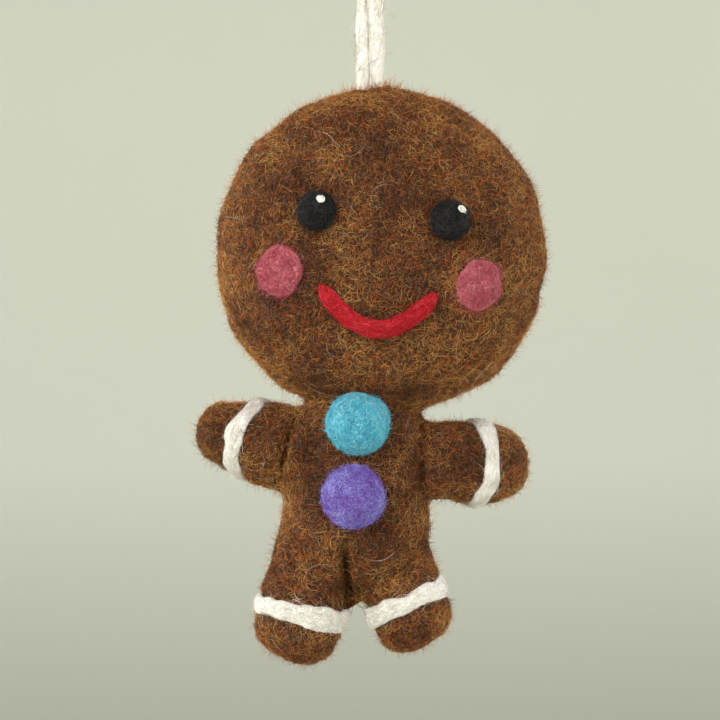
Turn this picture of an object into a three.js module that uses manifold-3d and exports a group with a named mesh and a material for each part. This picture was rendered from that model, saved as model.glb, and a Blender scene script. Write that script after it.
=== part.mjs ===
// A needle-felted gingerbread figure that hangs on a Christmas tree by a looped woollen cord.
// Millimetres, +Z up. The figure faces -Y, and left and right are the viewer's.
// The origin is the inside of the loop's top, where the cord bears on a twig.

import * as THREE from "three";
import { mergeVertices } from "three/addons/utils/BufferGeometryUtils.js";
import Module from "manifold-3d";

const wasm = await Module();
wasm.setup();

// Clearance between two felted pieces that touch.
const seatGap = 0.3;

// Hanging cord: one woollen yarn, doubled. Its two legs wind half round each other above the head.
const cordDiameter = 2.8;
const cordSides = 8;
const loopSteps = 30;
const legSteps = 8;
// Height at which the cord bends when the figure swings: the loop ends and the legs begin here.
const swingHeight = -53;
// The knot that holds both ends of the cord inside the head.
const knotDiameter = 6.4;
const knotTurnDiameter = 2.6;
const knotDepth = 20;

// Route of the cord's middle: up from the head, over the twig and down again.
const cordRoute = [
  [1.65, 0, -70],
  [1.64, -0.17, -65],
  [1.61, -0.37, -60],
  [1.53, -0.62, -55],
  [1.35, -0.95, -50],
  [1.02, -1.3, -46],
  [0.45, -1.59, -42.5],
  [-0.25, -1.63, -39.5],
  [-1.25, -1.4, -36.5],
  [-2.8, -0.85, -33],
  [-4.9, -0.3, -29],
  [-7.1, 0, -24.3],
  [-9, 0, -18.5],
  [-9.6, 0, -12.5],
  [-8.3, 0, -5.5],
  [-4.9, 0, -0.4],
  [0, 0, 1.4],
  [4.9, 0, -0.4],
  [8.3, 0, -5.5],
  [9.6, 0, -12.5],
  [9, 0, -18.5],
  [7.1, 0, -24.3],
  [4.9, 0.3, -29],
  [2.8, 0.85, -33],
  [1.25, 1.4, -36.5],
  [0.25, 1.63, -39.5],
  [-0.45, 1.59, -42.5],
  [-1.02, 1.3, -46],
  [-1.35, 0.95, -50],
  [-1.53, 0.62, -55],
  [-1.61, 0.37, -60],
  [-1.64, 0.17, -65],
  [-1.65, 0, -70],
].map(([x, y, z]) => new THREE.Vector3(x, y, z));

// Head: a flattened ball of dyed wool over a core of undyed wool.
const headWidth = 74.2;
const headHeight = 73;
const headDepth = 54;
// Power of the head's side outline: 2 is an ellipse, and more is fuller towards the rim.
const headFullness = 2.3;
// How much wider than an ellipse the head is at its chin, as a share of its width.
const headJowl = 0.1;
const headCoat = 6;
// How far the head's middle lies to the right of the cord.
const headOffset = 2.4;

// Face: every place is measured from the head's middle, before the face is tilted.
const faceTilt = 4;
const eyeDiameter = 9;
const eyeSpacing = 29;
const eyeRise = 7;
const eyeProud = 5;
const glintDiameter = 2.6;
const glintProud = 0.9;
const glintSideTilt = 24;
const glintUpTilt = 26;
const cheekDiameter = 11.5;
const cheekThickness = 3.4;
const cheekSpacing = 44;
const cheekRise = -6.5;
const smileThickness = 2.2;
const smileBreadth = 4.4;
const smileWidth = 25;
const smileRise = -9;
const smileSag = 8.5;
const smileSteps = 20;
const smileSides = 8;

// Torso: a rounded drum, oval in plan, that sits against the underside of the head.
const torsoLength = 46.5;
const neckWidth = 28;
const chestWidth = 31.5;
const waistWidth = 33;
const torsoDepth = 27;
const torsoCoat = 5;
const neckSink = 6;
const neckOffset = -1.5;
const torsoTilt = 3.6;

// Buttons down the front of the torso.
const buttonDiameter = 14.2;
const buttonProud = 9.6;
const buttonOffset = -0.7;
const firstButtonDrop = 8.4;
const buttonSpacing = 16.4;

// Arms: reach runs from the torso's axis to the fingertips, drop from the torso's top to the arm's axis.
const leftArmReach = 37.6;
const leftArmThickness = 14.8;
const leftArmRootThickness = 20.2;
const leftArmDrop = 18.6;
const leftArmTilt = 11;
const rightArmReach = 38.4;
const rightArmThickness = 17.4;
const rightArmRootThickness = 17.4;
const rightArmDrop = 16;
const rightArmTilt = 0;
const armRootInset = 6;
// Length of the rounding at an arm's or a leg's tip, in half thicknesses: less is blunter.
const armTipRound = 1.05;
const legTipRound = 0.7;
const armBackTilt = 6;

// Legs: length runs from the hip's middle, inside the torso, to the sole.
const leftLegLength = 28.6;
const leftLegThickness = 18.6;
const leftLegRootThickness = 18.8;
const leftHipOffset = 7.5;
const leftLegTilt = 10.5;
const rightLegLength = 25.1;
const rightLegThickness = 16.6;
const rightLegRootThickness = 18;
const rightHipOffset = 6.6;
const rightLegTilt = 25;
const hipRise = 11.5;
const legRootLength = 8;

// Bands of white wool, wrapped round the wrists and ankles.
const bandThickness = 0.7;
const wristBandWidth = 3.2;
const leftWristBandInset = 12;
const leftWristBandTilt = 16;
const rightWristBandInset = 11.3;
const rightWristBandTilt = 14;
const ankleBandWidth = 4.2;
const leftAnkleBandInset = 11;
const rightAnkleBandInset = 10.4;
const leftAnkleBandTilt = 2;
const rightAnkleBandTilt = -1;

// Facet counts of the felted forms.
const headFacets = [36, 22];
const coreFacets = [24, 14];
const torsoFacets = 26;
const limbFacets = 20;
const ballFacets = [20, 12];

const felt = (color) => new THREE.MeshStandardMaterial({ color, roughness: 0.95, metalness: 0 });
const gingerWool = felt("#5b3a22");
const coreWool = felt("#d8cdb8");
const icingWool = felt("#f0ece4");
const blackWool = felt("#17161a");
const roseWool = felt("#c8505c");
const redWool = felt("#b8132b");
const turquoiseWool = felt("#2fb6cc");
const violetWool = felt("#7d5cc0");
const cordYarn = felt("#efe7d4");

// Closed three.js geometry as a solid that can be cut and joined.
function solid(geometry) {
  const bare = geometry.clone();
  bare.deleteAttribute("normal");
  bare.deleteAttribute("uv");
  const merged = mergeVertices(bare, 1e-4);
  return new wasm.Manifold(
    new wasm.Mesh({
      numProp: 3,
      vertProperties: new Float32Array(merged.attributes.position.array),
      triVerts: new Uint32Array(merged.index.array),
    }),
  );
}

// A solid back as three.js geometry.
function geometryOf(body) {
  const mesh = body.getMesh();
  const geometry = new THREE.BufferGeometry();
  geometry.setAttribute("position", new THREE.BufferAttribute(mesh.vertProperties, 3));
  geometry.setIndex(new THREE.BufferAttribute(mesh.triVerts, 1));
  geometry.computeVertexNormals();
  return geometry;
}

// Several overlapping closed geometries as one.
function joined(...geometries) {
  return geometryOf(geometries.map(solid).reduce((a, b) => a.add(b)));
}

function addPiece(parent, name, geometry, material) {
  const mesh = new THREE.Mesh(geometry, material);
  mesh.name = name;
  parent.add(mesh);
  return mesh;
}

function addGroup(parent, position = [0, 0, 0]) {
  const group = new THREE.Group();
  group.position.set(...position);
  parent.add(group);
  return group;
}

// Cuts a placed mesh where larger pieces stand.
// Each cutter is a geometry and the object whose frame it is in.
function cut(mesh, ...cutters) {
  mesh.updateWorldMatrix(true, false);
  const toMesh = mesh.matrixWorld.clone().invert();
  let body = solid(mesh.geometry);
  for (const [geometry, frame] of cutters) {
    frame.updateWorldMatrix(true, false);
    const placed = geometry.clone().applyMatrix4(toMesh.clone().multiply(frame.matrixWorld));
    body = body.subtract(solid(placed));
  }
  mesh.geometry = geometryOf(body);
}

// A felted ball: round about Y, with a side outline between an ellipse and a rounded box.
function feltBall(width, depth, height, [around, along], fullness = 2) {
  const geometry = new THREE.SphereGeometry(1, around, along);
  const position = geometry.attributes.position;
  for (let i = 0; i < position.count; i++) {
    const p = new THREE.Vector3().fromBufferAttribute(position, i);
    const rim = Math.hypot(p.x, p.z);
    const reach = (rim ** fullness + Math.abs(p.y) ** fullness) ** (1 / fullness);
    p.divideScalar(reach).multiply(new THREE.Vector3(width / 2, depth / 2, height / 2));
    position.setXYZ(i, p.x, p.y, p.z);
  }
  return geometry;
}

// A solid of revolution about Y whose outline runs smoothly up through a few [radius, height] points.
// The whole outline can be grown outwards by a distance.
function turned(outline, facets, samples, grow) {
  const corners = outline.map(([radius, height]) => new THREE.Vector2(radius, height));
  const points = new THREE.SplineCurve(corners).getPoints(samples);
  const moved = points.map((point, i) => {
    if (i === 0) return new THREE.Vector2(0, point.y - grow);
    if (i === samples) return new THREE.Vector2(0, point.y + grow);
    const along = points[i + 1].clone().sub(points[i - 1]).normalize();
    return new THREE.Vector2(point.x + grow * along.y, point.y - grow * along.x);
  });
  return new THREE.LatheGeometry(moved, facets);
}

// A round tube along a curve.
function tube(curve, diameter, sides, steps) {
  const section = new THREE.Shape();
  for (let i = 0; i < sides; i++) {
    const angle = (2 * Math.PI * i) / sides;
    const [x, y] = [(diameter / 2) * Math.cos(angle), (diameter / 2) * Math.sin(angle)];
    if (i === 0) section.moveTo(x, y);
    else section.lineTo(x, y);
  }
  return new THREE.ExtrudeGeometry(section, { steps, extrudePath: curve, bevelEnabled: false });
}

const root = new THREE.Group();
root.name = "felt_ornament";

// Cord

const cordExit = cordRoute[0].clone().lerp(cordRoute.at(-1), 0.5);
const legSpacing = cordRoute[0].distanceTo(cordRoute.at(-1));
const cordCurve = new THREE.CatmullRomCurve3(cordRoute);

// Share of the cord's length at which it first passes a height, going up from one end.
function shareAtHeight(height) {
  let [low, high] = [0, 0.5];
  for (let i = 0; i < 40; i++) {
    const middle = (low + high) / 2;
    if (cordCurve.getPointAt(middle).z < height) low = middle;
    else high = middle;
  }
  return low;
}

// The stretch of the cord between two shares of its length.
function stretch(from, to) {
  const part = new THREE.Curve();
  part.getPoint = (t, target = new THREE.Vector3()) => cordCurve.getPointAt(from + (to - from) * t, target);
  return part;
}

function addCord(parent) {
  const bend = shareAtHeight(swingHeight);
  const gap = seatGap / 2 / cordCurve.getLength();
  const yarn = (from, to, steps) => tube(stretch(from, to), cordDiameter, cordSides, steps);
  addPiece(parent, "cord_loop", yarn(bend + gap, 1 - bend - gap, loopSteps), cordYarn);
  addPiece(parent, "cord_leg_right", yarn(gap, bend - gap, legSteps), cordYarn);
  addPiece(parent, "cord_leg_left", yarn(1 - bend + gap, 1 - gap, legSteps), cordYarn);
}

// The knot: a ball with two crossing turns of yarn and the two ends that run up to the head's top.
function addKnot(parent) {
  const group = addGroup(parent, [cordExit.x, cordExit.y, cordExit.z - knotDepth]);
  const turn = new THREE.TorusGeometry(knotDiameter / 2, knotTurnDiameter / 2, 6, 12);
  const tailLength = knotDepth - seatGap / 2;
  const tail = new THREE.CylinderGeometry(cordDiameter / 2, cordDiameter / 2, tailLength, cordSides)
    .rotateX(Math.PI / 2)
    .translate(0, 0, tailLength / 2);
  const parts = [
    new THREE.SphereGeometry(knotDiameter / 2, 10, 8),
    turn.clone().rotateX(Math.PI / 3),
    turn.clone().rotateX(-Math.PI / 3).rotateZ(Math.PI / 2),
    tail.clone().translate(-legSpacing / 2, 0, 0),
    tail.clone().translate(legSpacing / 2, 0, 0),
  ];
  addPiece(group, "cord_knot", joined(...parts), cordYarn);
  return group;
}

// Head

const jowlAt = (rise) => 1 + headJowl * Math.min(rise / (headHeight / 2), 0) ** 2;

function headShape(grow, facets = headFacets) {
  const size = [headWidth, headDepth, headHeight].map((side) => side + 2 * grow);
  const geometry = feltBall(...size, facets, headFullness);
  const position = geometry.attributes.position;
  for (let i = 0; i < position.count; i++) position.setX(i, position.getX(i) * jowlAt(position.getZ(i)));
  return geometry;
}

const exitRise = (headHeight / 2) * Math.sqrt(1 - (headOffset / (headWidth / 2)) ** 2);
const headMiddle = [cordExit.x + headOffset, cordExit.y, cordExit.z - exitRise];

// Depth of the head's front surface at a place on its face.
function headFront(x, z) {
  const rim = Math.min(Math.hypot(x / (headWidth / 2) / jowlAt(z), z / (headHeight / 2)), 1);
  return (-headDepth / 2) * (1 - rim ** headFullness) ** (1 / headFullness);
}

// Outward direction of the head's front surface there.
function headNormal(x, z) {
  const step = 0.05;
  const slopeX = (headFront(x + step, z) - headFront(x - step, z)) / (2 * step);
  const slopeZ = (headFront(x, z + step) - headFront(x, z - step)) / (2 * step);
  return new THREE.Vector3(slopeX, -1, slopeZ).normalize();
}

function addHead(parent, knot) {
  const group = addGroup(parent, headMiddle);
  const head = addPiece(group, "head", headShape(0), gingerWool);
  const core = addPiece(group, "head_core", headShape(-headCoat - seatGap, coreFacets), coreWool);
  const boreDiameter = legSpacing + cordDiameter + 2 * seatGap;
  const bore = new THREE.CylinderGeometry(boreDiameter / 2, boreDiameter / 2, 2 * knotDepth, 16)
    .rotateX(Math.PI / 2)
    .translate(0, 0, knotDepth);
  const pocketDiameter = knotDiameter + knotTurnDiameter + 2 * seatGap;
  const pocket = new THREE.SphereGeometry(pocketDiameter / 2, 18, 12);
  cut(head, [headShape(-headCoat, coreFacets), group], [bore, knot]);
  cut(core, [bore, knot], [pocket, knot]);
  return group;
}

// A place on the face as [x, z] in the head's frame, after the face is tilted.
function onFace(x, z) {
  const tilt = THREE.MathUtils.degToRad(-faceTilt);
  return [x * Math.cos(tilt) - z * Math.sin(tilt), x * Math.sin(tilt) + z * Math.cos(tilt)];
}

// A frame on the face with -Y pointing out of the head, pushed out by a distance.
function addFaceGroup(head, x, z, out) {
  const normal = headNormal(x, z);
  const place = new THREE.Vector3(x, headFront(x, z), z).addScaledVector(normal, out);
  const group = addGroup(head, place.toArray());
  group.quaternion.setFromUnitVectors(new THREE.Vector3(0, -1, 0), normal);
  return group;
}

function addEye(head, side, sign) {
  const ball = (grow) => {
    const diameter = eyeDiameter + 2 * grow;
    return feltBall(diameter, diameter, diameter, ballFacets);
  };
  const group = addFaceGroup(head, ...onFace((sign * eyeSpacing) / 2, eyeRise), eyeProud - eyeDiameter / 2);
  const eye = addPiece(group, "eye_" + side, ball(0), blackWool);
  cut(eye, [headShape(seatGap), head]);
  const [turn, rise] = [glintSideTilt, glintUpTilt].map(THREE.MathUtils.degToRad);
  const level = Math.cos(rise);
  const middle = new THREE.Vector3(Math.sin(turn) * level, -Math.cos(turn) * level, Math.sin(rise));
  middle.multiplyScalar(eyeDiameter / 2 + glintProud - glintDiameter / 2);
  const dot = new THREE.SphereGeometry(glintDiameter / 2, 10, 8);
  const glintGroup = addGroup(group, middle.toArray());
  const glint = addPiece(glintGroup, "eye_glint_" + side, dot, icingWool);
  cut(glint, [ball(seatGap), group]);
}

function addCheek(head, side, sign) {
  const group = addFaceGroup(head, ...onFace((sign * cheekSpacing) / 2, cheekRise), 0);
  const disc = feltBall(cheekDiameter, cheekThickness, cheekDiameter, ballFacets);
  cut(addPiece(group, "cheek_" + side, disc, roseWool), [headShape(seatGap), head]);
}

// The smile: a strand of wool laid on the face in an upward bow, flatter than it is wide, with round ends.
function addSmile(head) {
  const place = (across) => {
    const [x, z] = onFace((across * smileWidth) / 2, smileRise - smileSag * (1 - across ** 2));
    return { normal: headNormal(x, z), point: new THREE.Vector3(x, headFront(x, z), z) };
  };
  const corners = [];
  const triangles = [];
  for (let i = 0; i <= smileSteps; i++) {
    const across = (2 * i) / smileSteps - 1;
    const { normal, point } = place(across);
    const along = place(across + 0.01).point.sub(place(across - 0.01).point).normalize();
    const sideways = normal.clone().cross(along);
    const taper = Math.sqrt(1 - 0.9 * Math.abs(across) ** 10);
    point.addScaledVector(normal, seatGap + smileThickness / 2);
    for (let j = 0; j < smileSides; j++) {
      const angle = (2 * Math.PI * j) / smileSides;
      const corner = point.clone().addScaledVector(sideways, (smileBreadth / 2) * taper * Math.cos(angle));
      corners.push(corner.addScaledVector(normal, (smileThickness / 2) * taper * Math.sin(angle)));
    }
  }
  const last = smileSteps * smileSides;
  for (let j = 0; j < smileSides; j++) {
    const next = (j + 1) % smileSides;
    for (let ring = 0; ring < last; ring += smileSides) {
      triangles.push(ring + j, ring + next, ring + smileSides + next);
      triangles.push(ring + j, ring + smileSides + next, ring + smileSides + j);
    }
    if (j > 1) {
      triangles.push(0, j, j - 1);
      triangles.push(last, last + j - 1, last + j);
    }
  }
  const strand = new THREE.BufferGeometry().setFromPoints(corners);
  strand.setIndex(triangles);
  addPiece(head, "smile", strand, redWool);
}

// Torso

// The torso's outline, from its underside up to its top, which is 0.
function torsoShape(grow) {
  const outline = [
    [0, -torsoLength],
    [waistWidth * 0.3, -torsoLength * 0.965],
    [waistWidth * 0.45, -torsoLength * 0.86],
    [waistWidth / 2, -torsoLength * 0.66],
    [chestWidth / 2, -torsoLength * 0.38],
    [neckWidth / 2, -torsoLength * 0.16],
    [neckWidth * 0.36, -torsoLength * 0.03],
    [0, 0],
  ];
  return turned(outline, torsoFacets, 16, grow).rotateX(Math.PI / 2).scale(1, torsoDepth / waistWidth, 1);
}

// Depth of the torso's front at a distance below its top, from the waist's and chest's widths.
function torsoFront(drop) {
  const share = drop / torsoLength;
  const chest = THREE.MathUtils.smoothstep(share, 0.16, 0.38);
  const waist = THREE.MathUtils.smoothstep(share, 0.38, 0.66);
  const width = THREE.MathUtils.lerp(THREE.MathUtils.lerp(neckWidth, chestWidth, chest), waistWidth, waist);
  return ((-width / 2) * torsoDepth) / waistWidth;
}

function addTorso(parent, head) {
  const underHead = headMiddle[2] - headHeight / 2;
  const group = addGroup(parent, [cordExit.x + neckOffset, cordExit.y, underHead + neckSink]);
  group.rotation.y = THREE.MathUtils.degToRad(torsoTilt);
  const torso = addPiece(group, "torso", torsoShape(0), gingerWool);
  const inside = (grow) => torsoShape(grow - torsoCoat).translate(0, 0, torsoCoat);
  const core = addPiece(group, "torso_core", inside(-seatGap), coreWool);
  cut(torso, [inside(0), group], [headShape(seatGap), head]);
  cut(core, [headShape(2 * seatGap), head]);
  return group;
}

function addButtons(torso, head) {
  const buttons = [
    ["top", turquoiseWool],
    ["bottom", violetWool],
  ];
  buttons.forEach(([place, material], i) => {
    const drop = firstButtonDrop + i * buttonSpacing;
    const out = buttonProud - buttonDiameter / 2;
    const group = addGroup(torso, [buttonOffset, torsoFront(drop) - out, -drop]);
    const ball = feltBall(buttonDiameter, buttonDiameter, buttonDiameter, ballFacets);
    const button = addPiece(group, "button_" + place, ball, material);
    cut(button, [torsoShape(seatGap), torso], [headShape(seatGap), head]);
  });
}

// Limbs

// A limb along +Y from its root to its rounded tip.
function limbShape({ length, rootThickness, thickness, tipRound }, grow = 0) {
  const tip = thickness / 2;
  const round = tipRound * tip;
  const outline = [
    [0, 0],
    [rootThickness * 0.4, 0],
    [rootThickness / 2, length * 0.2],
    [tip, length - round],
    [tip * 0.86, length - 0.4 * round],
    [tip * 0.5, length - 0.085 * round],
    [0, length],
  ];
  return turned(outline, limbFacets, 15, grow);
}

// A band wrapped round a limb, an inset back from its tip, turned in the limb's own XY plane.
function bandShape(limb, width, inset, turn) {
  const side = 4 * Math.max(limb.thickness, limb.rootThickness);
  const slab = new THREE.BoxGeometry(side, width, side)
    .rotateZ(THREE.MathUtils.degToRad(turn))
    .translate(0, limb.length - inset, 0);
  const wool = solid(limbShape(limb, seatGap + bandThickness)).subtract(solid(limbShape(limb, seatGap)));
  return geometryOf(wool.intersect(solid(slab)));
}

const arms = [
  {
    side: "left",
    sign: -1,
    reach: leftArmReach,
    thickness: leftArmThickness,
    rootThickness: leftArmRootThickness,
    drop: leftArmDrop,
    raise: leftArmTilt,
    bandInset: leftWristBandInset,
    bandTilt: leftWristBandTilt,
  },
  {
    side: "right",
    sign: 1,
    reach: rightArmReach,
    thickness: rightArmThickness,
    rootThickness: rightArmRootThickness,
    drop: rightArmDrop,
    raise: rightArmTilt,
    bandInset: rightWristBandInset,
    bandTilt: rightWristBandTilt,
  },
];

const legs = [
  {
    side: "left",
    sign: -1,
    length: leftLegLength,
    thickness: leftLegThickness,
    rootThickness: leftLegRootThickness,
    hip: leftHipOffset,
    splay: leftLegTilt,
    bandInset: leftAnkleBandInset,
    bandTilt: leftAnkleBandTilt,
  },
  {
    side: "right",
    sign: 1,
    length: rightLegLength,
    thickness: rightLegThickness,
    rootThickness: rightLegRootThickness,
    hip: rightHipOffset,
    splay: rightLegTilt,
    bandInset: rightAnkleBandInset,
    bandTilt: rightAnkleBandTilt,
  },
];

const limbAxis = new THREE.Vector3(0, 1, 0);

// The front of a wrist band is nearer the hand than its back.
function addArm(torso, head, arm) {
  const { side, sign, reach, thickness, rootThickness, drop, raise, bandInset, bandTilt } = arm;
  const [up, back] = [raise, armBackTilt].map(THREE.MathUtils.degToRad);
  const level = Math.cos(back);
  const direction = new THREE.Vector3(sign * Math.cos(up) * level, Math.sin(back), Math.sin(up) * level);
  const group = addGroup(torso, [0, 0, -drop]);
  group.position.addScaledVector(direction, armRootInset);
  group.quaternion.setFromUnitVectors(limbAxis, direction);
  const limb = { length: reach - armRootInset, rootThickness, thickness, tipRound: armTipRound };
  const sleeve = addPiece(group, "arm_" + side, limbShape(limb), gingerWool);
  cut(sleeve, [torsoShape(seatGap), torso], [headShape(seatGap), head]);
  const strip = bandShape(limb, wristBandWidth, bandInset, sign * bandTilt);
  const band = addPiece(group, "wrist_band_" + side, strip, icingWool);
  cut(band, [headShape(seatGap), head], [torsoShape(seatGap), torso]);
}

// The legs come first, the second cut by the first.
// Then come the bands, cut by whatever they would press into.
function addLegs(torso) {
  const made = [];
  for (const { side, sign, length, thickness, rootThickness, hip, splay, bandInset, bandTilt } of legs) {
    const out = THREE.MathUtils.degToRad(splay);
    const direction = new THREE.Vector3(sign * Math.sin(out), 0, -Math.cos(out));
    const group = addGroup(torso, [sign * hip, 0, -torsoLength + hipRise]);
    group.position.addScaledVector(direction, -legRootLength);
    group.quaternion.setFromUnitVectors(limbAxis, direction);
    const limb = { length: length + legRootLength, rootThickness, thickness, tipRound: legTipRound };
    const leg = addPiece(group, "leg_" + side, limbShape(limb), gingerWool);
    const neighbours = made.map((other) => [limbShape(other.limb, seatGap), other.group]);
    cut(leg, [torsoShape(seatGap), torso], ...neighbours);
    made.push({ side, group, limb, bandInset, turn: sign * bandTilt });
  }
  made.forEach(({ side, group, limb, bandInset, turn }, i) => {
    const clear = i === 0 ? seatGap : bandThickness + 2 * seatGap;
    const others = made.filter((other) => other.group !== group);
    const strip = bandShape(limb, ankleBandWidth, bandInset, turn);
    const band = addPiece(group, "ankle_band_" + side, strip, icingWool);
    const neighbours = others.map((other) => [limbShape(other.limb, clear), other.group]);
    cut(band, [torsoShape(seatGap), torso], ...neighbours);
  });
}

addCord(root);
const knot = addKnot(root);
const head = addHead(root, knot);
[
  ["left", -1],
  ["right", 1],
].forEach(([side, sign]) => {
  addEye(head, side, sign);
  addCheek(head, side, sign);
});
addSmile(head);
const torso = addTorso(root, head);
addButtons(torso, head);
arms.forEach((arm) => addArm(torso, head, arm));
addLegs(torso);

export default root;
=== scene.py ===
"""A needle-felted gingerbread ornament on a wool cord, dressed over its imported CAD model.

Lengths are metres, and a name that ends in _mm is in millimetres. The figure faces -Y, and left and
right are the viewer's.
"""

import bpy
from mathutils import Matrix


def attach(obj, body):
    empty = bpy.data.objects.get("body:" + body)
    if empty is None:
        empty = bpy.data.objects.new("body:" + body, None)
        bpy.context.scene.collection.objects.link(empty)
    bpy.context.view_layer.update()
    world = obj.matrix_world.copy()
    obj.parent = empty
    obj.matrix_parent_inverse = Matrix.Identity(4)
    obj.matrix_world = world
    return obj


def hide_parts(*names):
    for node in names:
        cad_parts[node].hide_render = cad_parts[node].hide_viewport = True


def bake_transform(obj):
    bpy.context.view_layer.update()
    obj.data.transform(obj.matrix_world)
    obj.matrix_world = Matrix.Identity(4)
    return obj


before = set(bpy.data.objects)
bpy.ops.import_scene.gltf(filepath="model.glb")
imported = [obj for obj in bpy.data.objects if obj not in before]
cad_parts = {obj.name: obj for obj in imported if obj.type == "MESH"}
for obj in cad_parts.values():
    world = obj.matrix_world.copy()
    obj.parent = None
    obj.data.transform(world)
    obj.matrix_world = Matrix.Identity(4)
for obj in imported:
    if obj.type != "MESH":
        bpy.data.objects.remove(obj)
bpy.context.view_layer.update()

import copy
import logging
import math
from collections.abc import Iterable
from dataclasses import dataclass
from enum import Enum
from functools import cache

import bmesh
import bpy
import numpy as np
from bmesh.types import BMesh
from bpy.types import Material, Mesh, Node, NodeTree, Object
from mathutils import Vector, noise
from mathutils.bvhtree import BVHTree

LOG = logging.getLogger("felt_ornament")
MM = 0.001
# Corners closer than this are one corner.
SAME_CORNER = 1e-6
FIBRE_SIDES = 3
# A coat is split into pieces of at most this many triangles.
MOST_TRIANGLES = 195000
# Noise vectors start from the clock unless they are seeded.
NOISE_SEED = 5
SIDES = ("left", "right")
BAND_NODES = ("wrist_band_left", "wrist_band_right", "ankle_band_left", "ankle_band_right")
Pair = tuple[float, float]
Triple = tuple[float, float, float]
Pieces = dict[str, Object]


def linear(colour: str) -> tuple[float, float, float, float]:
    """Turns an sRGB hex colour into the linear values that shaders use.

    Args:
        colour: the colour as "#rrggbb".

    Returns:
        Red, green, blue and an opaque alpha.
    """
    parts = []
    for place in (1, 3, 5):
        share = int(colour[place : place + 2], 16) / 255
        parts.append(share / 12.92 if share <= 0.04045 else ((share + 0.055) / 1.055) ** 2.4)
    return parts[0], parts[1], parts[2], 1.0


def add_node(tree: NodeTree, kind: str, settings: dict | None = None, links: dict | None = None) -> Node:
    """Adds a shader node, sets it up and links its inputs.

    Args:
        tree: the material's node tree.
        kind: the node's type, without the leading "ShaderNode".
        settings: values by the name of a property, or by the name or number of an input.
        links: by the name or number of an input, the socket that feeds it, or a node whose first
            output does.

    Returns:
        The new node.
    """
    node = tree.nodes.new("ShaderNode" + kind)
    for name, value in (settings or {}).items():
        if isinstance(name, int) or name in node.inputs:
            node.inputs[name].default_value = value
        else:
            setattr(node, name, value)
    for name, source in (links or {}).items():
        socket = source.outputs[0] if isinstance(source, Node) else source
        tree.links.new(node.inputs[name], socket)
    return node


def new_material(name: str) -> tuple[Material, NodeTree]:
    """Starts a material with an empty node tree.

    Args:
        name: the real material's name.

    Returns:
        The material and its node tree.
    """
    material = bpy.data.materials.new(name)
    material.use_nodes = True
    material.node_tree.nodes.clear()
    return material, material.node_tree


def baked_mesh(holder: Object) -> Mesh:
    """Takes an object's shape with its modifiers or bevel applied, and removes the object.

    Args:
        holder: a scratch object that is linked to the scene.

    Returns:
        The finished mesh.
    """
    graph = bpy.context.evaluated_depsgraph_get()
    mesh = bpy.data.meshes.new_from_object(holder.evaluated_get(graph))
    bpy.data.objects.remove(holder)
    return mesh


def add_object(name: str, data: bpy.types.ID) -> Object:
    """Puts a mesh, curve, lamp or camera into the scene at the origin and returns its object."""
    made = bpy.data.objects.new(name, data)
    bpy.context.scene.collection.objects.link(made)
    return made


def soften(shape: BMesh, verts: Iterable, rounds: int) -> None:
    """Smooths corners of a shape.

    Args:
        shape: the shape, changed in place.
        verts: the corners.
        rounds: how many times over.
    """
    for _ in range(rounds):
        bmesh.ops.smooth_vert(
            shape, verts=verts, factor=0.5, use_axis_x=True, use_axis_y=True, use_axis_z=True
        )


class Lay(Enum):
    """How the fibres of a coat lie on their surface."""

    TANGLED = "tangled"
    WRAPPED = "wrapped"
    DRAWN = "drawn"


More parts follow.
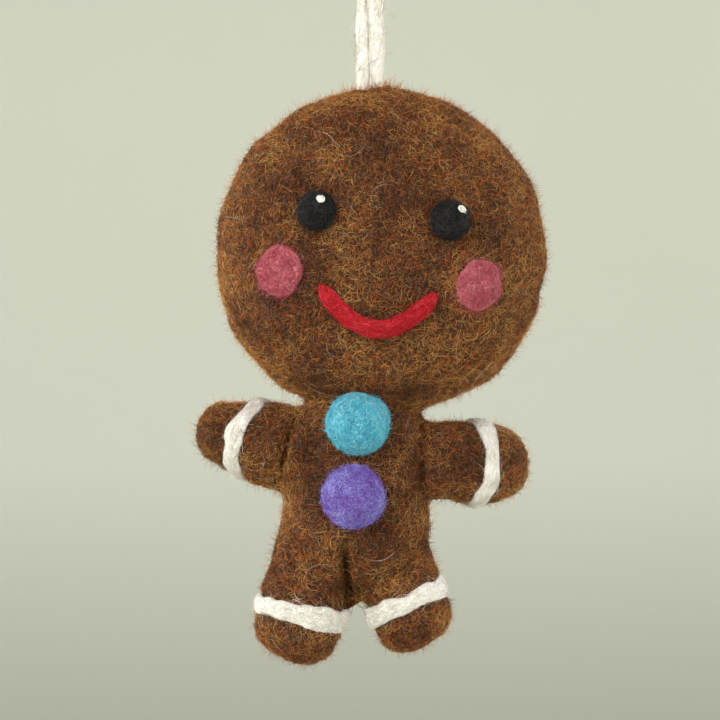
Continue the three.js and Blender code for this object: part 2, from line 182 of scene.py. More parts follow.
@dataclass(frozen=True)
class Wool:
    """A wool, as carded batts give it: a blend of fibre tones that gather in soft patches.

    Matt felted wool scatters light like cloth: no clear highlight, a pale bloom at the rim, and a
    surface that is all fibres, so its colour is a mix of many single hairs. Wool fibres are about
    0.03 mm thick, too fine to show, so the streaks on the ground are drawn 0.3 mm wide.
    """

    name: str
    slot: str
    tones: tuple[tuple[str, float], ...]
    patch_mm: float = 11.0
    patch_pull: float = 0.35
    # How dark the felted ground is drawn: painted shade for the shadow deep in the gaps between the
    # fibres, 1.0 for none.
    painted_gap_shade: float = 0.8
    sheen: float = 0.12
    sheen_tint: str = "#ffffff"
    tint_range: Pair = (0.85, 1.15)
    dye_mm: float = 1.6
    fine_patch_scale: float = 3.1
    fine_patch_share: float = 0.6
    bend_mm: float = 7.0
    bend_reach_mm: float = 5.0
    streak_mm: Triple = (6.0, 0.3, 0.3)
    streak_turns: tuple[Triple, ...] = (
        (0.3, 0.1, 0.2),
        (1.4, 0.9, 0.5),
        (0.6, 2.0, 1.3),
        (2.5, 0.4, 2.2),
    )
    relief_mm: float = 0.25

    def blend(self, points: np.ndarray, lift: np.ndarray, rng: np.random.Generator) -> np.ndarray:
        """Chooses a tone for each fibre, with neighbours alike where a patch gathers.

        Args:
            points: where each fibre starts.
            lift: how far each choice moves towards the last, palest tones, painted rim light on the
                loose fibres.
            rng: the coat's random numbers.

        Returns:
            One linear colour a fibre.
        """
        scale = 1 / (self.patch_mm * MM)
        places = [Vector(point) * scale for point in points]
        broad = np.array([noise.noise(place) for place in places])
        fine = np.array([noise.noise(place * self.fine_patch_scale) for place in places])
        patch = broad + self.fine_patch_share * fine
        choice = np.clip(rng.random(len(points)) + self.patch_pull * patch + lift, 0, 0.999)
        shares = np.cumsum([share for _, share in self.tones])
        picked = np.searchsorted(shares / shares[-1], choice, side="right")
        colours = np.array([linear(tone)[:3] for tone, _ in self.tones])
        return colours[picked] * rng.uniform(*self.tint_range, (len(points), 1))

    @cache
    def felt(self) -> Material:
        """Makes the felted ground under the loose fibres, streaked by fibres in four directions.

        Returns:
            The material.
        """
        material, tree = new_material(self.name + " felt")
        place = add_node(tree, "TexCoord").outputs["Object"]
        bend = add_node(
            tree, "TexNoise", {"Scale": 1 / (self.bend_mm * MM), "Detail": 1.0}, {"Vector": place}
        )
        centre = {"operation": "SUBTRACT", 1: (0.5, 0.5, 0.5)}
        centred = add_node(tree, "VectorMath", centre, {0: bend.outputs["Color"]})
        reach = {"operation": "SCALE", "Scale": self.bend_reach_mm * MM}
        drift = add_node(tree, "VectorMath", reach, {0: centred})
        curved = add_node(tree, "VectorMath", {"operation": "ADD"}, {0: place, 1: drift})
        patch = add_node(
            tree, "TexNoise", {"Scale": 1 / (self.patch_mm * MM), "Detail": 3.0}, {"Vector": place}
        )
        tones = [linear(tone) for tone, _ in self.tones]
        mixed = {"data_type": "RGBA", 6: tones[0], 7: tones[1]}
        colour = add_node(tree, "Mix", mixed, {0: patch}).outputs[2]
        size = tuple(length * MM for length in self.streak_mm)
        height = None
        for number, turn in enumerate(self.streak_turns):
            laid = {"vector_type": "TEXTURE", "Rotation": turn, "Scale": size}
            along = add_node(tree, "Mapping", laid, {"Vector": curved})
            grain = add_node(tree, "TexNoise", {"Scale": 1.0, "Detail": 1.0}, {"Vector": along})
            streak = add_node(tree, "MapRange", {"From Min": 0.5, "From Max": 0.66}, {"Value": grain})
            mixed = {"data_type": "RGBA", 7: tones[min(number + 1, len(tones) - 1)]}
            colour = add_node(tree, "Mix", mixed, {0: streak, 6: colour}).outputs[2]
            if height is None:
                height = streak
            else:
                height = add_node(tree, "Math", {"operation": "MAXIMUM"}, {0: height, 1: streak})
        relief = {"Strength": 0.6, "Distance": self.relief_mm * MM}
        bump = add_node(tree, "Bump", relief, {"Height": height})
        # Darkens the ground as painted shade, for the shadow in the gaps between the fibres.
        shade = add_node(tree, "HueSaturation", {"Value": self.painted_gap_shade}, {"Color": colour})
        self.add_shader(tree, {"Roughness": 0.92}, {"Base Color": shade, "Normal": bump})
        return material

    @cache
    def fibre(self) -> Material:
        """Makes the single fibres, each in its own tint, paler and darker along its length.

        Returns:
            The material.
        """
        material, tree = new_material(self.name + " fibre")
        tint = add_node(tree, "Attribute", {"attribute_name": "tint"})
        place = add_node(tree, "TexCoord").outputs["Object"]
        dye = add_node(
            tree, "TexNoise", {"Scale": 1 / (self.dye_mm * MM), "Detail": 1.0}, {"Vector": place}
        )
        value = add_node(tree, "MapRange", {"To Min": 0.8, "To Max": 1.2}, {"Value": dye})
        rough = add_node(tree, "MapRange", {"To Min": 0.6, "To Max": 0.9}, {"Value": dye})
        colour = add_node(tree, "HueSaturation", {}, {"Color": tint, "Value": value})
        self.add_shader(tree, {}, {"Base Color": colour, "Roughness": rough})
        return material

    def add_shader(self, tree: NodeTree, settings: dict, links: dict) -> None:
        """Ends a material in the matt shader of wool.

        Args:
            tree: the material's node tree.
            settings: values for the shader.
            links: what feeds its inputs.
        """
        wool = {
            "Specular IOR Level": 0.15,
            "Sheen Weight": self.sheen,
            "Sheen Roughness": 0.5,
            "Sheen Tint": linear(self.sheen_tint),
        }
        shader = add_node(tree, "BsdfPrincipled", {**wool, **settings}, links)
        add_node(tree, "OutputMaterial", {}, {"Surface": shader})


GINGER = Wool(
    "Ginger wool",
    "ginger_wool",
    (("#150f0c", 0.16), ("#39251c", 0.17), ("#653e27", 0.16), ("#7a6658", 0.08))
    + (("#964d26", 0.16), ("#c4622b", 0.13), ("#c57e3c", 0.09), ("#cfa05a", 0.05)),
    patch_mm=9.0,
    patch_pull=0.6,
    painted_gap_shade=0.45,
    sheen=0.3,
    sheen_tint="#e0984e",
)
STRAY = Wool("Grey stray wool", "ginger_wool", (("#a39a92", 0.4), ("#c2bab3", 0.4), ("#dcd6d0", 0.2)))
WHITE = Wool(
    "White wool",
    "white_wool",
    (("#cfc4af", 0.1), ("#e6dfd2", 0.25), ("#f1ede5", 0.35), ("#f8f5f0", 0.3)),
    patch_mm=6.0,
    painted_gap_shade=1.0,
)
BLACK = Wool(
    "Black wool",
    "black_wool",
    (("#0c0b0d", 0.45), ("#151417", 0.32), ("#262324", 0.17), ("#443e3c", 0.06)),
    patch_mm=4.0,
    sheen=0.04,
)
ROSE = Wool(
    "Rose wool",
    "rose_wool",
    (("#a03645", 0.26), ("#bd4c59", 0.42), ("#cf6a74", 0.26), ("#dd9096", 0.06)),
    patch_mm=5.0,
)
RED = Wool(
    "Red wool",
    "red_wool",
    (("#860a14", 0.22), ("#b1111e", 0.45), ("#cb1a28", 0.28), ("#d8434a", 0.05)),
    patch_mm=5.0,
    sheen=0.04,
)
TURQUOISE = Wool(
    "Turquoise wool",
    "turquoise_wool",
    (("#2b93b0", 0.22), ("#43bcd5", 0.4), ("#6dd2e4", 0.28), ("#aee7f1", 0.1)),
    patch_mm=5.0,
)
VIOLET = Wool(
    "Violet wool",
    "violet_wool",
    (("#8446ad", 0.16), ("#5f4a9e", 0.18), ("#7f68c4", 0.32), ("#8d86da", 0.24), ("#b6aeea", 0.1)),
    patch_mm=5.0,
    patch_pull=0.75,
    sheen=0.06,
)
CORE = Wool("Undyed core wool", "core_wool", (("#b9ab92", 0.3), ("#d8cdb8", 0.5), ("#ebe4d6", 0.2)))
YARN = Wool(
    "Cream yarn",
    "cord_yarn",
    (("#e6dbc4", 0.1), ("#f5efe1", 0.25), ("#fbf8f0", 0.35), ("#fffdf8", 0.3)),
    patch_mm=6.0,
    sheen=0.2,
    painted_gap_shade=1.0,
)
CURL = Wool("Beige curled yarn", "cord_yarn", (("#b5a588", 0.4), ("#cfc2a8", 0.4), ("#e6ddca", 0.2)))


class Surface:
    """The surface of one or more pieces that fibres start from or lie on."""

    skip_mm: float = 0.1

    def __init__(self, pieces: Iterable[Object]) -> None:
        """Gathers the triangles of the pieces.

        Args:
            pieces: mesh pieces at the origin.
        """
        corners = []
        triangles = []
        start = 0
        for piece in pieces:
            mesh = piece.data
            places = np.empty(len(mesh.vertices) * 3)
            mesh.vertices.foreach_get("co", places)
            mesh.calc_loop_triangles()
            faces = np.empty(len(mesh.loop_triangles) * 3, dtype=np.int32)
            mesh.loop_triangles.foreach_get("vertices", faces)
            corners.append(places.reshape(-1, 3))
            triangles.append(faces.reshape(-1, 3) + start)
            start += len(mesh.vertices)
        self.corners = np.concatenate(corners)
        self.triangles = np.concatenate(triangles)
        self.tree = BVHTree.FromPolygons(
            self.corners.tolist(), self.triangles.tolist(), all_triangles=True
        )

    def around(self, middle: Vector, reach: float) -> "Surface":
        """Gives the part of this surface near a point, to sow fibres there.

        Args:
            middle: the point.
            reach: how far from it the part goes.

        Returns:
            The part.
        """
        nearby = copy.copy(self)
        gaps = np.linalg.norm(self.corners[self.triangles].mean(axis=1) - np.array(middle), axis=1)
        nearby.triangles = self.triangles[gaps < reach]
        return nearby

    def scatter(self, count: int, rng: np.random.Generator) -> tuple[np.ndarray, np.ndarray]:
        """Scatters points evenly over the surface.

        Args:
            count: how many points.
            rng: the coat's random numbers.

        Returns:
            The points and the outward directions there.
        """
        first, second, third = (self.corners[self.triangles[:, place]] for place in range(3))
        across = np.cross(second - first, third - first)
        size = np.linalg.norm(across, axis=1)
        chosen = rng.choice(len(size), count, p=size / size.sum())
        root = np.sqrt(rng.random((count, 1)))
        share = rng.random((count, 1))
        across_edge = second[chosen] * (1 - share) + third[chosen] * share
        points = first[chosen] * (1 - root) + root * across_edge
        return points, across[chosen] / size[chosen, None]

    def nearest(self, points: np.ndarray) -> tuple[np.ndarray, np.ndarray]:
        """Finds the nearest place on the surface to each point, and the outward direction there."""
        found = [self.tree.find_nearest(point)[:2] for point in points.tolist()]
        return np.array([place for place, _ in found]), np.array([way for _, way in found])

    def is_open(self, points: np.ndarray, ways: np.ndarray, reach: float) -> np.ndarray:
        """Tells which points have nothing of this surface straight in front of them.

        Args:
            points: points on a piece.
            ways: the outward directions there.
            reach: how far in front of each point counts.

        Returns:
            True for each open point.
        """
        starts = points + ways * self.skip_mm * MM
        rays = zip(starts.tolist(), ways.tolist())
        return np.array([self.tree.ray_cast(start, way, reach)[0] is None for start, way in rays])


@dataclass
class FibreCoat:
    """A coat of single fibres, some laid close on the felt and some standing off it.

    A fibre is a tube of at most a few dozen faces that tapers to a point at both ends. Real ones are
    about 0.03 mm thick, and are drawn two to five times as thick to show. Wrapped fibres go round
    the guide, an axis, and drawn ones follow it, a line of points.
    """

    name: str
    wool: Wool
    count: int
    seed: int
    length_mm: Pair = (5.0, 10.0)
    radius_mm: float = 0.075
    curl: float = 0.3
    lift_mm: float = 0.25
    loose_share: float = 0.2
    loose_mm: float = 0.6
    # How far loose fibres are tinted towards the palest tones: painted rim light on the fuzz that stands
    # off the felt.
    loose_glow_lift: float = 0.25
    lay: Lay = Lay.TANGLED
    guide: np.ndarray | None = None
    stray: float = 0.2
    twist: float = 0.0
    comb: float = 0.0
    joints: int = 6
    body: str | None = "figure"
    comb_mm: float = 14.0
    cover_mm: float = 2.5
    root_mm: float = 0.04
    closest_mm: float = 0.02
    tallest: float = 3.5
    rise_power: float = 1.4
    waver: float = 0.4
    thickness: Pair = (0.7, 1.25)
    loose_thickness: float = 0.8

    def heading(self, points: np.ndarray, ways: np.ndarray, rng: np.random.Generator) -> np.ndarray:
        """Gives the direction in which each fibre sets out.

        Args:
            points: where the fibres start.
            ways: the outward directions there.
            rng: the coat's random numbers.

        Returns:
            One direction a fibre, along the surface.
        """
        free = rng.normal(size=points.shape)
        if self.lay is Lay.TANGLED:
            drift = [noise.noise_vector(Vector(point) / (self.comb_mm * MM)) for point in points]
            return free + self.comb * np.array(drift)
        if self.lay is Lay.WRAPPED:
            run = np.cross(self.guide, ways)
        else:
            gaps = np.linalg.norm(points[:, None] - self.guide[None], axis=2)
            run = np.gradient(self.guide, axis=0)[np.argmin(gaps, axis=1)]
        run = run / np.linalg.norm(run, axis=1, keepdims=True)
        run = run + self.twist * np.cross(run, ways)
        return run * rng.choice((-1.0, 1.0), (len(points), 1)) + free * self.stray

    def grow(self, sown: Surface, ground: Surface, cover: Surface | None = None) -> list[Object]:
        """Grows the fibres along the felt and makes their meshes.

        Args:
            sown: the surface that the fibres start from.
            ground: the surface that they lie on.
            cover: pieces that hide part of the surface, where no fibre starts.

        Returns:
            The pieces, each under the limit of triangles.
        """
        rng = np.random.default_rng(self.seed)
        points, ways = sown.scatter(self.count, rng)
        if cover is not None:
            seen = cover.is_open(points, ways, self.cover_mm * MM)
            points = points[seen]
            ways = ways[seen]
        count = len(points)
        heading = self.heading(points, ways, rng)
        step = rng.uniform(*self.length_mm, (count, 1)) * MM / (self.joints - 1)
        turn = rng.normal(0, self.curl, (count, 1))
        loose = rng.random((count, 1)) < self.loose_share
        tall = np.minimum(rng.exponential(self.loose_mm, (count, 1)), self.tallest * self.loose_mm)
        peak = np.where(loose, tall, rng.random((count, 1)) * self.lift_mm) * MM
        # Loose fibres are tinted paler, as painted rim light.
        tints = self.wool.blend(points, loose[:, 0] * self.loose_glow_lift, rng)
        track = []
        for joint in range(self.joints):
            base, ways = ground.nearest(points)
            share = joint / (self.joints - 1)
            rise = np.where(loose, share**self.rise_power, math.sin(math.pi * share))
            track.append(base + ways * (peak * rise - self.root_mm * MM))
            heading = heading - ways * np.sum(heading * ways, axis=1, keepdims=True)
            heading = heading / np.linalg.norm(heading, axis=1, keepdims=True)
            heading = heading * np.cos(turn) + np.cross(ways, heading) * np.sin(turn)
            turn = turn + rng.normal(0, self.waver * self.curl, (count, 1))
            points = base + heading * step
        tracks = np.stack(track, axis=1)
        thick = self.radius_mm * rng.uniform(*self.thickness, (count, 1))
        taper = np.sin(np.linspace(0, math.pi, self.joints)) ** 0.5
        taper[[0, -1]] = 0
        radii = np.where(loose, self.loose_thickness, 1.0) * thick * taper[None]
        steps = np.linalg.norm(np.diff(tracks, axis=1), axis=2)
        free = steps.min(axis=1) >= self.closest_mm * MM
        tracks, radii, tints = tracks[free], radii[free], tints[free]
        count = len(tracks)
        most = MOST_TRIANGLES // (2 * FIBRE_SIDES * (self.joints - 2))
        pieces = []
        for start in range(0, count, most):
            part = slice(start, start + most)
            name = f"{self.name}_{len(pieces) + 1}" if count > most else self.name
            pieces.append(self.spin(name, tracks[part], radii[part], tints[part]))
        return pieces

    def spin(self, name: str, tracks: np.ndarray, radii: np.ndarray, tints: np.ndarray) -> Object:
        """Turns fibre paths into one mesh of thin tubes.

        Args:
            name: the piece's name.
            tracks: the points of each fibre.
            radii: the radius in millimetres at each point.
            tints: each fibre's linear colour.

        Returns:
            The piece.
        """
        section = bpy.data.curves.new("fibre_section", "CURVE")
        outline = section.splines.new("POLY")
        outline.points.add(FIBRE_SIDES - 1)
        outline.use_cyclic_u = True
        for number, point in enumerate(outline.points):
            angle = -2 * math.pi * number / FIBRE_SIDES
            point.co = (MM * math.cos(angle), MM * math.sin(angle), 0, 1)
        ring = add_object("fibre_section", section)
        curve = bpy.data.curves.new(name, "CURVE")
        curve.dimensions = "3D"
        curve.bevel_mode = "OBJECT"
        curve.bevel_object = ring
        places = np.concatenate([tracks, np.ones(tracks.shape[:2] + (1,))], axis=2)
        for place, radius in zip(places, radii):
            spline = curve.splines.new("POLY")
            spline.points.add(self.joints - 1)
            spline.points.foreach_set("co", place.ravel())
            spline.points.foreach_set("radius", radius)
        tubes = baked_mesh(add_object(name, curve))
        bpy.data.objects.remove(ring)
        self.mark(tubes, tints)
        holder = add_object(name, tubes)
        closing = holder.modifiers.new("Closed points", "WELD")
        closing.merge_threshold = 1e-7
        mesh = baked_mesh(holder)
        mesh.name = name
        mesh.shade_smooth()
        mesh.materials.append(self.wool.fibre())
        piece = add_object(name, mesh)
        if self.body is not None:
            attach(piece, self.body)
        LOG.info("%s: %d fibres, %d faces", name, len(tracks), len(mesh.polygons))
        return piece

    def mark(self, mesh: Mesh, tints: np.ndarray) -> None:
        """Stores each fibre's tint, and gives each fibre a square of its own in the UV map.

        Args:
            mesh: the tubes, in the fibres' order.
            tints: each fibre's linear colour.
        """
        corners = len(mesh.vertices) // len(tints)
        colours = np.ones((len(mesh.vertices), 4), dtype=np.float32)
        colours[:, :3] = np.repeat(tints, corners, axis=0)
        layer = mesh.color_attributes.new("tint", "FLOAT_COLOR", "POINT")
        layer.data.foreach_set("color", colours.ravel())
        squares = math.ceil(math.sqrt(len(tints)))
        number = np.arange(len(mesh.vertices))
        fibre = number // corners
        along = (number % corners) // FIBRE_SIDES / (self.joints - 1)
        around = number % FIBRE_SIDES / (FIBRE_SIDES - 1)
        # A margin of 0.15 to 0.2 keeps each fibre clear of the sides of its square.
        right = (fibre % squares + 0.15 + 0.55 * along + 0.15 * around) / squares
        up = (fibre // squares + 0.2 + 0.6 * around) / squares
        spread = np.stack([right, up], axis=1)
        loops = np.empty(len(mesh.loops), dtype=np.int32)
        mesh.loops.foreach_get("vertex_index", loops)
        uv_map = mesh.uv_layers.new(name="OFBake")
        uv_map.data.foreach_set("uv", spread[loops].astype(np.float32).ravel())


@dataclass
class Fuzz(FibreCoat):
    """A coat of fibres that all stand off the felt, most of them short."""

    curl: float = 0.3
    loose_share: float = 1.0
    loose_glow_lift: float = 0.0
    joints: int = 3


@dataclass(frozen=True)
class Felting:
    """How a shape is felted: its remeshed grain, how far edges round over, and its lumps.

    Each lump is a size and a height in millimetres: hand felting leaves the surface uneven.
    """

    grain_mm: float = 0.75
    rounding: int = 6
    lumps: tuple[Pair, ...] = ((14.0, 0.45), (5.0, 0.22))

    def copy(self, node: str) -> BMesh:
        """Copies a CAD node's shape as one closed, evenly meshed, felted shape.

        Args:
            node: the CAD node's name.

        Returns:
            The felted shape.
        """
        shape = bmesh.new()
        shape.from_mesh(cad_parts[node].data)
        bmesh.ops.remove_doubles(shape, verts=shape.verts, dist=SAME_CORNER)
        even = self.matted(shape)
        self.work(even)
        return even

    def matted(self, shape: BMesh) -> BMesh:
        """Mats closed shapes, which may overlap, into one even mesh.

        Args:
            shape: the closed shapes, freed here.

        Returns:
            The even mesh.
        """
        mesh = bpy.data.meshes.new("felting")
        shape.to_mesh(mesh)
        shape.free()
        holder = add_object("felting", mesh)
        matting = holder.modifiers.new("Matting", "REMESH")
        matting.mode = "VOXEL"
        matting.voxel_size = self.grain_mm * MM
        even = bmesh.new()
        even.from_mesh(baked_mesh(holder))
        return even

    def work(self, shape: BMesh) -> None:
        """Rounds a shape's edges over and raises its lumps.

        Args:
            shape: an evenly meshed shape, changed in place.
        """
        soften(shape, shape.verts, self.rounding)
        shape.normal_update()
        for vert in shape.verts:
            rise = sum(height * noise.noise(vert.co / (size * MM)) for size, height in self.lumps)
            vert.co += vert.normal * rise * MM

    def piece(self, name: str, shape: BMesh, wool: Wool, *nodes: str, smooth: bool = True) -> Object:
        """Makes a felted shape a padded piece of the figure.

        Args:
            name: the piece's name.
            shape: the felted shape, freed here.
            wool: what it is felted from.
            nodes: the CAD nodes that it stands for.
            smooth: whether the whole shape is shaded smooth.

        Returns:
            The piece.
        """
        mesh = bpy.data.meshes.new(name)
        shape.to_mesh(mesh)
        shape.free()
        if smooth:
            mesh.shade_smooth()
        mesh.materials.append(wool.felt())
        made = add_object(name, mesh)
        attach(made, "figure")
        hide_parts(*nodes)
        LOG.info("%s: %d faces", name, len(mesh.polygons))
        return made

    def felted(self, node: str, wool: Wool) -> Object:
        """Makes the felted piece that stands for one CAD node."""
        return self.piece(node + "_felt", self.copy(node), wool, node)


@dataclass
class Cord:
    """The looped wool cord: two soft strands, side by side, that cross under a teardrop loop."""

    diameter_mm: float = 3.3
    exit_mm: Triple = (1.5, 0.0, -70.0)
    sunk_mm: float = 2.5
    ply_pitch_mm: float = 11.0
    ply_depth: float = 0.07
    swell_mm: float = 7.0
    swell_depth: float = 0.12
    sides: int = 16
    bends: int = 10
    bend_from: Triple = (0.0, 0.0, -0.042)
    bend_to: Triple = (0.0, 0.0, -0.064)
    knot: Felting = Felting(0.5, 2, ((3.0, 0.15),))

    def route(self) -> list[Triple]:
        """Gives the cord's way in millimetres, from one end in the head to the other."""
        out, front, top = self.exit_mm
        rising = [
            (out, front, top - self.sunk_mm),
            self.exit_mm,
            *((1.5, -0.17, -65.0), (1.48, -0.37, -60.0), (1.43, -0.62, -55.0), (1.3, -0.95, -50.0)),
            *((1.02, -1.3, -46.0), (0.45, -1.59, -42.5), (-0.25, -1.63, -39.5), (-1.25, -1.4, -36.5)),
            *((-2.8, -0.85, -33.0), (-4.9, -0.3, -29.0), (-7.1, 0.0, -24.3), (-9.0, 0.0, -18.5)),
            *((-9.6, 0.0, -12.5), (-8.3, 0.0, -5.5), (-4.9, 0.0, -0.4)),
        ]
        falling = [(-x, -y, z) for x, y, z in reversed(rising)]
        return rising + [(0.0, 0.0, 1.4)] + falling

    def strand(self) -> tuple[Mesh, np.ndarray]:
        """Makes the strand as a round tube, swollen and grooved by the twist of its plies.

        Returns:
            The mesh and the middle of each of its rings.
        """
        curve = bpy.data.curves.new("cord", "CURVE")
        curve.dimensions = "3D"
        curve.bevel_depth = self.diameter_mm / 2 * MM
        curve.bevel_resolution = self.sides // 2 - 2
        curve.resolution_u = self.bends
        spline = curve.splines.new("BEZIER")
        places = self.route()
        spline.bezier_points.add(len(places) - 1)
        for point, place in zip(spline.bezier_points, places):
            point.co = Vector(place) * MM
            point.handle_left_type = "AUTO"
            point.handle_right_type = "AUTO"
        mesh = baked_mesh(add_object("cord", curve))
        rings = np.empty(len(mesh.vertices) * 3)
        mesh.vertices.foreach_get("co", rings)
        rings = rings.reshape(-1, self.sides, 3)
        middles = rings.mean(axis=1)
        steps = np.linalg.norm(np.diff(middles, axis=0), axis=1)
        travel = np.concatenate([[0.0], np.cumsum(steps)])
        angles = np.arange(self.sides) * 2 * math.pi / self.sides
        twist = np.cos(2 * angles[None] + 2 * math.pi * travel[:, None] / (self.ply_pitch_mm * MM))
        swell = np.array([noise.noise(Vector(middle) / (self.swell_mm * MM)) for middle in middles])
        reach = 1 + self.ply_depth * twist + self.swell_depth * swell[:, None]
        rings = middles[:, None] + (rings - middles[:, None]) * reach[:, :, None]
        mesh.vertices.foreach_set("co", rings.ravel())
        tube = bmesh.new()
        tube.from_mesh(mesh)
        bmesh.ops.holes_fill(tube, edges=[edge for edge in tube.edges if edge.is_boundary], sides=0)
        tube.to_mesh(mesh)
        tube.free()
        return mesh, middles

    def build(self) -> None:
        """Builds the cord, its fuzz and its curls, and its knot inside the head."""
        mesh, middles = self.strand()
        mesh.shade_smooth()
        mesh.materials.append(YARN.felt())
        cord = add_object("cord", mesh)
        surface = Surface([cord])
        fuzz = FibreCoat(
            "cord_fuzz", YARN, 3000, seed=11, length_mm=(4.0, 9.0), radius_mm=0.06, curl=0.1,
            lift_mm=0.2, loose_share=0.15, loose_mm=0.4, loose_glow_lift=0.0, lay=Lay.DRAWN, guide=middles,
            stray=0.12, twist=0.45, body=None,
        )
        curls = Fuzz(
            "cord_curls", CURL, 260, seed=12, length_mm=(5.0, 12.0), radius_mm=0.055, curl=0.45,
            loose_mm=1.3, joints=12, body=None,
        )
        loose = fuzz.grow(surface, surface) + curls.grow(surface, surface)
        knot = self.knot.piece("cord_knot_yarn", self.knot.copy("cord_knot"), YARN, "cord_knot")
        for piece in [cord] + loose:
            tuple(self.bend_from)
            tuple(self.bend_to)
            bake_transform(piece)
        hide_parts("cord_loop", "cord_leg_left", "cord_leg_right")
        steps = np.linalg.norm(np.diff(middles, axis=0), axis=1)
        [tuple(middle) for middle in middles]
        LOG.info("cord: %.1f mm long, %d faces", steps.sum() / MM, len(mesh.polygons))


@dataclass(frozen=True)
class Crease:
    """A crease where limbs meet the body: a broad hollow with a sharp fold in it, front and back.

    Its ends are x and z in millimetres, and each fold is a width and a depth in millimetres.
    """

    top_mm: Pair
    low_mm: Pair
    folds_mm: tuple[Pair, ...]
    fade_mm: float = 5.0

    def press(self, skin: BMesh) -> None:
        """Presses the crease into a skin.

        Args:
            skin: the skin, changed in place.
        """
        top_x, top_z = self.top_mm
        low_x, low_z = self.low_mm
        for vert in skin.verts:
            place = vert.co / MM
            if not low_z < place.z < top_z:
                continue
            share = (top_z - place.z) / (top_z - low_z)
            across = place.x - top_x - share * (low_x - top_x)
            fade = min((top_z - place.z) / self.fade_mm, (place.z - low_z) / self.fade_mm, 1.0)
            depth = fade * sum(deep * math.exp(-((across / wide) ** 2)) for wide, deep in self.folds_mm)
            vert.co.y -= math.copysign(min(depth, abs(place.y)), place.y) * MM


class Dressing:
    """Felt pieces that are all built first, and then coated with fibres where nothing hides them."""

    def build(self) -> Pieces:
        """Builds the pieces.

        Returns:
            The pieces by their CAD nodes.
        """
        raise NotImplementedError

    def coat(self, made: Pieces, cover: Surface) -> None:
        """Grows the fibres of the pieces.

        Args:
            made: all the felt pieces by their CAD nodes.
            cover: their whole surface, which hides parts of each.
        """
        raise NotImplementedError


